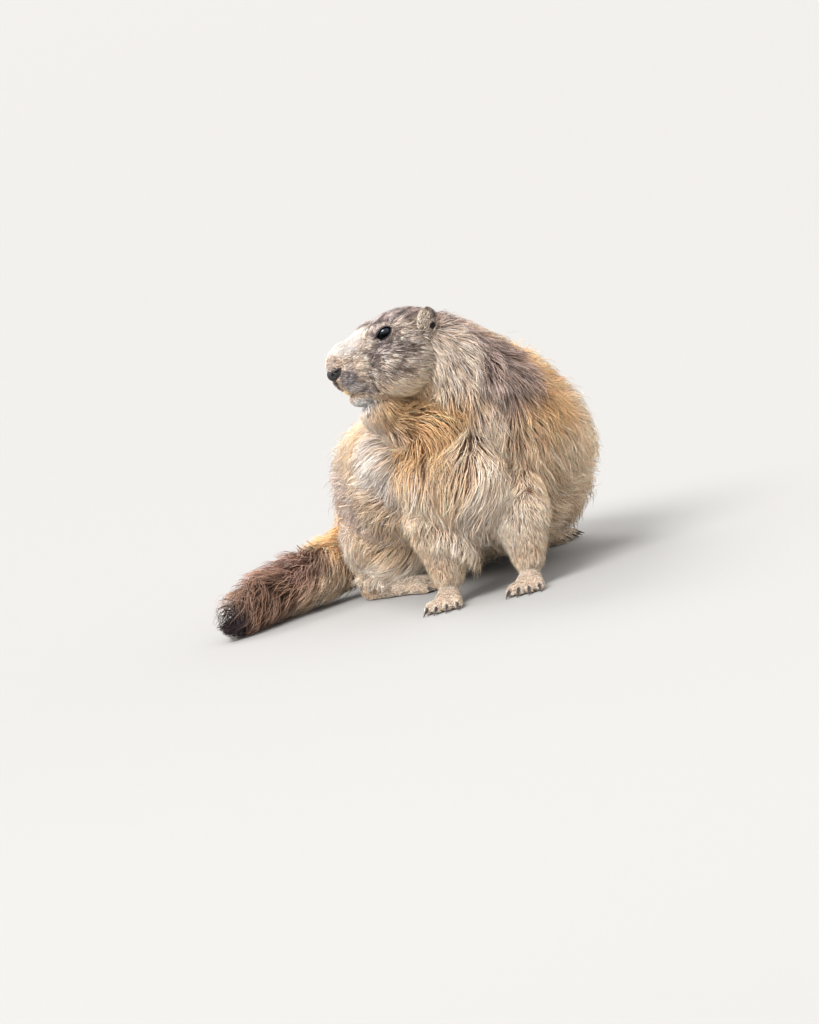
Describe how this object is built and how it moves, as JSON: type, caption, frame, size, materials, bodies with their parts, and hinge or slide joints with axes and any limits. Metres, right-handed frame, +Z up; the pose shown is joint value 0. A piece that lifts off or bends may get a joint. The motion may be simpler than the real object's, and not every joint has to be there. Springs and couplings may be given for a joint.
{
  "type": "alpine marmot",
  "caption": "Life-size alpine marmot, a still museum model, crouched with its body curled and its head up in profile.",
  "frame": {"origin": "on the floor, under the middle of the model's bounding box", "axes": "+Z up, the chest looks along -Y, the head and the tail point to -X"},
  "size_m": [0.3381, 0.3469, 0.2453],
  "materials": {
    "coat": "matt fur",
    "feet": "matt short fur and skin",
    "ears": "matt short fur",
    "eyes": "polished",
    "nose": "moist satin",
    "teeth": "satin",
    "claws": "satin horn"
  },
  "bodies": {
    "root": {"head": "coat", "neck": "coat", "chest": "coat", "rump": "coat", "tail": "coat", "right_foreleg": "coat", "left_foreleg": "coat", "right_hind_leg": "coat", "left_hind_leg": "coat", "right_fore_foot": "feet", "left_fore_foot": "feet", "right_hind_foot": "feet", "left_hind_foot": "feet", "ear_left": "ears", "ear_right": "ears", "eye_left": "eyes", "eye_right": "eyes", "nose": "nose", "incisor_left": "teeth", "incisor_right": "teeth"}
  },
  "joints": []
}
